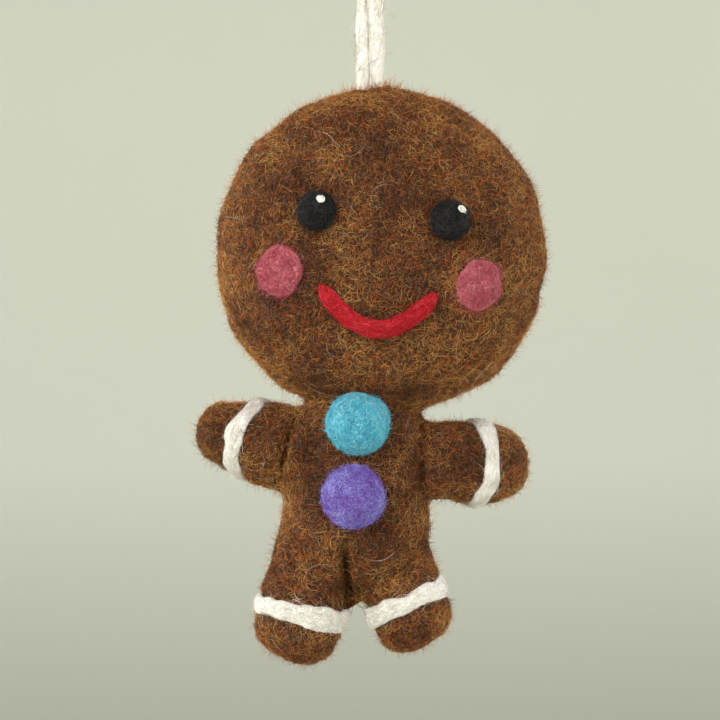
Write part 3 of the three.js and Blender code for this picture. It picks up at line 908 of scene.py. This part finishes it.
@dataclass
class Figure(Dressing):
    """The ginger figure: head, torso, arms and legs, needled together so that no seam shows.

    The pieces are shaped as one skin, with soft hollows where they meet, and then parted again along
    their seams, so each keeps its own name.
    """

    head_size_mm: Triple = (74.2, 54.0, 73.0)
    head_fullness: float = 2.3
    head_jowl: float = 0.1
    head_middle_mm: Triple = (2.4, 0.0, -106.4235)
    nodes: tuple[str, ...] = ("head", "torso", "arm_left", "arm_right", "leg_left", "leg_right")
    web_size_mm: Triple = (5.5, 11.0, 10.0)
    web_middle_mm: Triple = (-4.3, 0.0, -182.5)
    creases: tuple[Crease, ...] = (
        Crease((-6.0, -170.5), (-4.3, -191.0), ((4.0, 2.0), (1.2, 5.5))),
        Crease((-16.5, -141.0), (-21.0, -160.0), ((2.8, 1.6), (1.0, 2.4))),
        Crease((11.8, -141.0), (11.8, -165.0), ((2.6, 1.2), (1.0, 1.6))),
    )
    seam_reach_mm: float = 3.0
    seam_rounds: int = 4
    swell_mm: float = 0.5
    pressed_mm: Pair = (0.4, 1.0)
    swollen_mm: Pair = (1.0, 4.0)
    cord_root_mm: Triple = (0.0, 0.0, -70.0)
    cord_root_reach_mm: float = 6.0
    felting: Felting = Felting(0.75, 4, ((15.0, 0.7), (8.0, 0.8), (3.0, 0.22)))
    core: Felting = Felting(1.5, 2)

    def head_ball(self, shape: BMesh) -> None:
        """Adds the head to a shape: a ball that is pressed into its full, jowled form.

        Args:
            shape: the shape that the ball joins.
        """
        ball = bmesh.ops.create_icosphere(shape, subdivisions=5, radius=1.0)["verts"]
        half = Vector(self.head_size_mm) * MM / 2
        power = self.head_fullness
        for vert in ball:
            rim = math.hypot(vert.co.x, vert.co.z)
            reach = (rim**power + abs(vert.co.y) ** power) ** (1 / power)
            vert.co = (vert.co / reach) * half
            vert.co.x *= 1 + self.head_jowl * min(vert.co.z / half.z, 0) ** 2
        bmesh.ops.translate(shape, verts=ball, vec=Vector(self.head_middle_mm) * MM)

    def leg_web(self, shape: BMesh) -> None:
        """Adds the wool that is needled in between the legs, behind their crease.

        Args:
            shape: the shape that the web joins.
        """
        web = bmesh.ops.create_icosphere(shape, subdivisions=3, radius=0.5 * MM)["verts"]
        bmesh.ops.scale(shape, verts=web, vec=self.web_size_mm)
        bmesh.ops.translate(shape, verts=web, vec=Vector(self.web_middle_mm) * MM)

    def skin(self) -> BMesh:
        """Mats the pieces into one skin and keeps its outer shell.

        Returns:
            The skin, before it is worked.
        """
        wad = bmesh.new()
        for node in self.nodes[1:] + ("torso_core",):
            wad.from_mesh(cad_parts[node].data)
        bmesh.ops.remove_doubles(wad, verts=wad.verts, dist=SAME_CORNER)
        self.head_ball(wad)
        self.leg_web(wad)
        matted = self.felting.matted(wad)
        matted.verts.ensure_lookup_table()
        top = max(matted.verts, key=lambda vert: vert.co.z)
        reached = {top}
        front = {top}
        while front:
            front = {edge.other_vert(vert) for vert in front for edge in vert.link_edges} - reached
            reached |= front
        inner = [vert for vert in matted.verts if vert not in reached]
        bmesh.ops.delete(matted, geom=inner, context="VERTS")
        return matted

    def near(self, skin: BMesh, nodes: Iterable[str]) -> np.ndarray:
        """Measures how far each corner of the skin is from some CAD nodes.

        Args:
            skin: the skin.
            nodes: the nodes' names.

        Returns:
            A row a corner and a column a node, in millimetres.
        """
        trees = [Surface([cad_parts[node]]).tree for node in nodes]
        places = [vert.co.copy() for vert in skin.verts]
        return np.array([[tree.find_nearest(place)[3] for tree in trees] for place in places]) / MM

    def work(self, skin: BMesh) -> np.ndarray:
        """Softens the seams, rounds and lumps the skin, and swells it beside the tight bands.

        Args:
            skin: the skin, changed in place.

        Returns:
            The number of the nearest piece for each corner.
        """
        gaps = self.near(skin, self.nodes)
        second = np.sort(gaps, axis=1)[:, 1]
        skin.verts.ensure_lookup_table()
        seam = [vert for vert, gap in zip(skin.verts, second) if gap < self.seam_reach_mm]
        soften(skin, seam, self.seam_rounds)
        apart = self.near(skin, BAND_NODES).min(axis=1)
        smooth = [vert.co.copy() for vert in skin.verts]
        self.felting.work(skin)
        skin.normal_update()
        tight, freed = self.pressed_mm
        full, flat_again = self.swollen_mm
        clear = np.clip((apart - tight) / (freed - tight), 0, 1)
        beside = clear * np.clip((flat_again - apart) / (flat_again - full), 0, 1)
        for vert, flat, free, share in zip(skin.verts, smooth, clear, beside):
            swollen = vert.co + vert.normal * self.swell_mm * share * MM
            vert.co = flat.lerp(swollen, free)
        for crease in self.creases:
            crease.press(skin)
        return np.argmin(gaps, axis=1)

    def part(self, skin: BMesh, owners: np.ndarray, number: int) -> BMesh:
        """Takes one piece out of the skin and closes it where it met its neighbours.

        Args:
            skin: the worked skin.
            owners: the number of the piece that each corner belongs to.
            number: the piece's number.

        Returns:
            The closed piece.
        """
        piece = skin.copy()
        piece.verts.index_update()
        owned = {face: min(owners[vert.index] for vert in face.verts) for face in piece.faces}
        others = [face for face, owner in owned.items() if owner != number]
        bmesh.ops.delete(piece, geom=others, context="FACES")
        rim = [edge for edge in piece.edges if edge.is_boundary]
        caps = bmesh.ops.holes_fill(piece, edges=rim, sides=0)["faces"]
        flat = bmesh.ops.poke(piece, faces=caps)["faces"]
        for face in piece.faces:
            face.smooth = True
        for face in flat:
            face.smooth = False
        return piece

    def build(self) -> Pieces:
        """Builds the ginger pieces and the core inside the head."""
        skin = self.skin()
        owners = self.work(skin)
        made = {}
        for number, node in enumerate(self.nodes):
            closed = self.part(skin, owners, number)
            made[node] = self.felting.piece(node + "_felt", closed, GINGER, node, smooth=False)
        skin.free()
        made["head_core"] = self.core.felted("head_core", CORE)
        return made

    def coat(self, made: Pieces, cover: Surface) -> None:
        """Grows the ginger fibres over all the pieces as one coat, and the fuzz that stands off it."""
        ground = Surface(made[node] for node in self.nodes)
        counts = {"head": 33000, "torso": 10000, "arm": 4300, "leg": 4700}
        for number, node in enumerate(self.nodes):
            sown = Surface([made[node]])
            count = counts[node.split("_")[0]]
            FibreCoat(
                node + "_fibres", GINGER, count, seed=21 + number, length_mm=(1.4, 4.0), radius_mm=0.05,
                curl=0.45, lift_mm=0.7, loose_share=0.25, loose_mm=0.5, comb=3.0, joints=4,
            ).grow(sown, cover, cover)
            Fuzz(
                node + "_fuzz", GINGER, count * 3 // 2, seed=61 + number, length_mm=(0.9, 2.6),
                radius_mm=0.037, curl=0.4, loose_mm=0.8, loose_glow_lift=0.35,
            ).grow(sown, cover, cover)
        Fuzz(
            "long_hairs", GINGER, 1400, seed=71, length_mm=(3.0, 6.5), radius_mm=0.03, curl=0.4,
            loose_mm=0.9, loose_glow_lift=0.3, joints=6,
        ).grow(ground, cover, cover)
        FibreCoat(
            "stray_hairs", STRAY, 95, seed=72, length_mm=(7.0, 16.0), radius_mm=0.036, curl=0.13,
            lift_mm=0.8, loose_share=0.4, loose_mm=0.8, loose_glow_lift=0.0, joints=14,
        ).grow(ground, cover, cover)
        root = ground.around(Vector(self.cord_root_mm) * MM, self.cord_root_reach_mm * MM)
        Fuzz(
            "cord_root_fuzz", GINGER, 700, seed=73, length_mm=(1.2, 3.2), radius_mm=0.04, curl=0.4,
            loose_mm=1.1, loose_glow_lift=0.35, joints=4,
        ).grow(root, cover, cover)


@dataclass
class Face(Dressing):
    """The plain traditional face: ball eyes with a glint, round cheeks and a strand of a smile."""

    trim: Felting = Felting(0.34, 3, ((4.0, 0.16), (1.6, 0.07)))
    fleck: Felting = Felting(0.16, 9, ((1.5, 0.1),))
    disc: Felting = Felting(0.34, 5, ((3.6, 0.55), (1.6, 0.12)))
    blend_reach_mm: tuple[tuple[str, float], ...] = (("eye", 6.0), ("cheek", 7.0))
    smile_steps: int = 24

    def build(self) -> Pieces:
        """Builds the pieces of the face."""
        made = {}
        for side in SIDES:
            for part, wool, felting in (
                ("eye_", BLACK, self.trim),
                ("eye_glint_", WHITE, self.fleck),
                ("cheek_", ROSE, self.disc),
            ):
                made[part + side] = felting.felted(part + side, wool)
        made["smile"] = self.trim.felted("smile", RED)
        return made

    def coat(self, made: Pieces, cover: Surface) -> None:
        """Grows the fibres of the face's pieces, and ginger ones over the rims of eyes and cheeks."""
        head = Surface([made["head"]])
        for number, side in enumerate(SIDES):
            eye = Surface([made["eye_" + side]])
            glint = Surface([made["eye_glint_" + side]])
            cheek = Surface([made["cheek_" + side]])
            FibreCoat(
                f"eye_{side}_fibres", BLACK, 900, seed=31 + number, length_mm=(2.5, 6.0),
                radius_mm=0.055, lift_mm=0.15, loose_mm=0.35,
            ).grow(eye, eye, cover)
            Fuzz(
                f"eye_{side}_fuzz", BLACK, 1400, seed=38 + number, length_mm=(0.8, 2.2),
                radius_mm=0.032, loose_mm=0.6, loose_glow_lift=0.2,
            ).grow(eye, cover, cover)
            FibreCoat(
                f"eye_glint_{side}_fibres", WHITE, 80, seed=33 + number, length_mm=(1.2, 2.5),
                radius_mm=0.05, lift_mm=0.1, loose_mm=0.2, loose_glow_lift=0.0,
            ).grow(glint, glint, cover)
            FibreCoat(
                f"cheek_{side}_fibres", ROSE, 1500, seed=35 + number, length_mm=(1.5, 3.5),
                radius_mm=0.045, curl=0.35, loose_mm=0.3, loose_glow_lift=0.0, joints=4,
            ).grow(cheek, cover, cover)
            Fuzz(
                f"cheek_{side}_fuzz", ROSE, 1500, seed=91 + number, length_mm=(1.0, 3.0),
                radius_mm=0.034, loose_mm=0.6,
            ).grow(cheek, cover, cover)
            for part, reach in self.blend_reach_mm:
                middle = np.mean([vert.co for vert in made[f"{part}_{side}"].data.vertices], axis=0)
                FibreCoat(
                    f"{part}_{side}_blend", GINGER, 700, seed=95 + number, length_mm=(1.5, 4.0),
                    radius_mm=0.045, curl=0.4, lift_mm=0.5, loose_share=0.3, joints=4,
                ).grow(head.around(Vector(middle), reach * MM), cover, cover)
        smile = Surface([made["smile"]])
        FibreCoat(
            "smile_fibres", RED, 1100, seed=30, length_mm=(3.0, 7.0), radius_mm=0.06, curl=0.15,
            lift_mm=0.18, loose_mm=0.4, lay=Lay.DRAWN, guide=self.smile_line(made["smile"]),
        ).grow(smile, smile, cover)
        Fuzz(
            "smile_fuzz", RED, 900, seed=39, length_mm=(0.8, 2.2), radius_mm=0.034, loose_mm=0.45,
        ).grow(smile, cover, cover)

    def smile_line(self, smile: Object) -> np.ndarray:
        """Gives points along the middle of the smile's strand, from left to right."""
        places = np.array([vert.co for vert in smile.data.vertices])
        edges = np.linspace(places[:, 0].min(), places[:, 0].max(), self.smile_steps + 1)
        steps = np.digitize(places[:, 0], edges[1:-1])
        return np.array([places[steps == step].mean(axis=0) for step in range(self.smile_steps)])


@dataclass
class Body(Dressing):
    """The torso's core and the two felt balls down its front."""

    ball: Felting = Felting(0.4, 3, ((5.0, 0.3), (2.0, 0.12)))
    core: Felting = Felting(1.2, 2)
    buttons: tuple[tuple[str, Wool], ...] = (("button_top", TURQUOISE), ("button_bottom", VIOLET))

    def build(self) -> Pieces:
        """Builds the torso's core and the buttons."""
        made = {"torso_core": self.core.felted("torso_core", CORE)}
        for node, wool in self.buttons:
            made[node] = self.ball.felted(node, wool)
        return made

    def coat(self, made: Pieces, cover: Surface) -> None:
        """Grows the fibres of the buttons."""
        for number, (node, wool) in enumerate(self.buttons):
            ball = Surface([made[node]])
            FibreCoat(
                node + "_fibres", wool, 3600, seed=41 + number, length_mm=(1.8, 4.5), radius_mm=0.048,
                curl=0.35, loose_mm=0.35, loose_glow_lift=0.1, joints=4,
            ).grow(ball, ball, cover)
            Fuzz(
                node + "_fuzz", wool, 3000, seed=46 + number, length_mm=(0.8, 2.0), radius_mm=0.03,
                loose_mm=0.45, loose_glow_lift=0.15,
            ).grow(ball, ball, cover)


@dataclass
class Bands(Dressing):
    """The bands of white roving round the wrists and ankles, needled lightly into the felt."""

    roving: Felting = Felting(0.3, 7, ((5.0, 0.35), (2.0, 0.25)))
    wander_mm: float = 1.3
    wander_size_mm: float = 5.0
    crown_mm: float = 0.55

    def build(self) -> Pieces:
        """Builds the bands, rolled to a soft crown and wandering a little along their limbs."""
        made = {}
        for node in BAND_NODES:
            strip = self.roving.copy(node)
            axis = Vector(ring_axis(strip.verts))
            middle = sum((vert.co for vert in strip.verts), Vector()) / len(strip.verts)
            offsets = [axis.dot(vert.co - middle) for vert in strip.verts]
            half = max(abs(offset) for offset in offsets)
            strip.normal_update()
            for vert, offset in zip(strip.verts, offsets):
                crown = self.crown_mm * (1 - (offset / half) ** 2)
                wander = self.wander_mm * noise.noise(vert.co / (self.wander_size_mm * MM))
                vert.co += (vert.normal * crown + axis * wander) * MM
            made[node] = self.roving.piece(node + "_felt", strip, WHITE, node)
        return made

    def coat(self, made: Pieces, cover: Surface) -> None:
        """Grows the fibres of the bands, wound round the limbs, and the few that stray off them."""
        for number, node in enumerate(BAND_NODES):
            ring = Surface([made[node]])
            FibreCoat(
                node + "_fibres", WHITE, 1700, seed=51 + number, length_mm=(2.0, 6.0), radius_mm=0.048,
                curl=0.15, lift_mm=0.2, loose_share=0.25, loose_mm=0.3, loose_glow_lift=0.0, joints=5,
                lay=Lay.WRAPPED, guide=ring_axis(made[node].data.vertices),
            ).grow(ring, cover, cover)
            FibreCoat(
                node + "_strays", WHITE, 1100, seed=81 + number, length_mm=(1.0, 3.2), radius_mm=0.026,
                curl=0.5, lift_mm=0.4, loose_share=0.7, loose_mm=0.45, loose_glow_lift=0.0, joints=4,
            ).grow(ring, cover, cover)


def ring_axis(corners: Iterable) -> np.ndarray:
    """Finds the axis of a ring of vertices, the direction in which it spreads least."""
    places = np.array([corner.co for corner in corners])
    return np.linalg.svd(places - places.mean(axis=0), full_matrices=False)[2][2]


@dataclass(frozen=True)
class Lamp:
    """A soft square lamp: where it stands, the length of its side, and its power in watts."""

    name: str
    place: Triple
    side: float
    power: float

    def light(self, aim: Triple) -> None:
        """Adds the lamp, turned towards a point.

        Args:
            aim: the point.
        """
        data = bpy.data.lights.new(self.name, "AREA")
        data.size = self.side
        data.energy = self.power
        lamp = add_object(self.name, data)
        lamp.location = self.place
        lamp.rotation_euler = (Vector(aim) - Vector(self.place)).to_track_quat("-Z", "Y").to_euler()
        lamp.visible_camera = False


@dataclass
class Studio:
    """The pale stage, the soft lamps and the camera, which looks level at the figure's front."""

    aim: Triple = (-0.00227, 0.0, -0.1311)
    distance: float = 0.8
    frame_width: float = 0.1637
    sensor_mm: float = 36.0
    nearest: float = 0.01
    floor_height: float = -0.45
    floor_radius: float = 1.2
    sweep_radius: float = 0.5
    sweep_steps: int = 12
    wall_height: float = 1.1
    round_steps: int = 96
    pale: str = "#d2d4c5"
    tooth_mm: float = 4.0
    glow_height: float = -0.2
    glow: float = 0.45
    air: float = 0.75
    lamps: tuple[Lamp, ...] = (
        Lamp("key_lamp", (-0.5, -0.8, 0.3), 0.6, 10.2),
        Lamp("fill_lamp", (0.7, -0.75, -0.08), 0.8, 5.6),
        Lamp("left_rim_lamp", (-0.85, 0.3, 0.1), 0.6, 8.2),
        Lamp("right_rim_lamp", (0.8, 0.4, 0.1), 0.6, 6.5),
    )

    def camera(self) -> None:
        """Sets the camera up at the photograph's angle."""
        data = bpy.data.cameras.new("camera")
        data.sensor_width = self.sensor_mm
        data.lens = self.sensor_mm * self.distance / self.frame_width
        data.clip_start = self.nearest
        camera = add_object("camera", data)
        camera.location = Vector(self.aim) - Vector((0.0, self.distance, 0.0))
        camera.rotation_euler = (math.pi / 2, 0.0, 0.0)
        bpy.context.scene.camera = camera

    def backdrop(self) -> None:
        """Spins a pale round stage whose floor sweeps up into its wall."""
        profile = [(0.0, 0.0), (self.floor_radius, 0.0)]
        for step in range(1, self.sweep_steps + 1):
            angle = step / self.sweep_steps * math.pi / 2
            out = self.floor_radius + self.sweep_radius * math.sin(angle)
            profile.append((out, self.sweep_radius * (1 - math.cos(angle))))
        profile.append((self.floor_radius + self.sweep_radius, self.wall_height))
        sweep = bmesh.new()
        points = [sweep.verts.new((out, 0.0, self.floor_height + rise)) for out, rise in profile]
        edges = [sweep.edges.new(pair) for pair in zip(points, points[1:])]
        turn = {"cent": (0, 0, 0), "axis": (0, 0, 1), "angle": 2 * math.pi, "steps": self.round_steps}
        bmesh.ops.spin(sweep, geom=points + edges, use_merge=True, **turn)
        bmesh.ops.remove_doubles(sweep, verts=sweep.verts, dist=1e-5)
        bmesh.ops.recalc_face_normals(sweep, faces=sweep.faces)
        if min(sweep.faces, key=lambda face: face.calc_center_median().length).normal.z < 0:
            bmesh.ops.reverse_faces(sweep, faces=sweep.faces)
        mesh = bpy.data.meshes.new("stage")
        sweep.to_mesh(mesh)
        sweep.free()
        mesh.shade_smooth()
        mesh.materials.append(self.paper())
        add_object("stage", mesh)

    def paper(self) -> Material:
        """Makes matt background paper, whose wall looks evenly lit to the camera.

        Returns:
            The material.
        """
        material, tree = new_material("Matt background paper")
        place = add_node(tree, "TexCoord").outputs["Object"]
        tooth = add_node(
            tree, "TexNoise", {"Scale": 1 / (self.tooth_mm * MM), "Detail": 3.0}, {"Vector": place}
        )
        bump = add_node(tree, "Bump", {"Strength": 0.05, "Distance": 0.2 * MM}, {"Height": tooth})
        height = add_node(tree, "SeparateXYZ", {}, {"Vector": place}).outputs["Z"]
        span = {"From Min": self.floor_height, "From Max": self.glow_height, "To Max": self.glow}
        wall = add_node(tree, "MapRange", span, {"Value": height})
        path = add_node(tree, "LightPath").outputs
        seen = path["Is Camera Ray"]
        for ray in ("Is Glossy Ray", "Is Transmission Ray"):
            seen = add_node(tree, "Math", {"operation": "MAXIMUM"}, {0: seen, 1: path[ray]})
        glow = add_node(tree, "Math", {"operation": "MULTIPLY"}, {0: wall, 1: seen})
        pale = linear(self.pale)
        shader = add_node(
            tree,
            "BsdfPrincipled",
            {"Base Color": pale, "Roughness": 0.9, "Emission Color": pale},
            {"Emission Strength": glow, "Normal": bump},
        )
        add_node(tree, "OutputMaterial", {}, {"Surface": shader})
        return material

    def build(self) -> None:
        """Builds the whole studio."""
        self.camera()
        self.backdrop()
        for lamp in self.lamps:
            lamp.light(self.aim)
        world = bpy.data.worlds.new("studio_air")
        world.use_nodes = True
        world.node_tree.nodes["Background"].inputs["Strength"].default_value = self.air
        bpy.context.scene.world = world
        bpy.context.scene.view_settings.view_transform = "Standard"
        LOG.info("studio: camera, stage and four lamps")


def main() -> None:
    """Builds the ornament piece by piece and sets it in its studio."""
    logging.basicConfig(level=logging.INFO, format="%(name)s: %(message)s")
    noise.seed_set(NOISE_SEED)
    Studio().build()
    Cord().build()
    dressings = (Figure(), Face(), Body(), Bands())
    made: Pieces = {}
    for dressing in dressings:
        made.update(dressing.build())
    cover = Surface(made.values())
    for dressing in dressings:
        dressing.coat(made, cover)


if __name__ == "__main__":
    main()
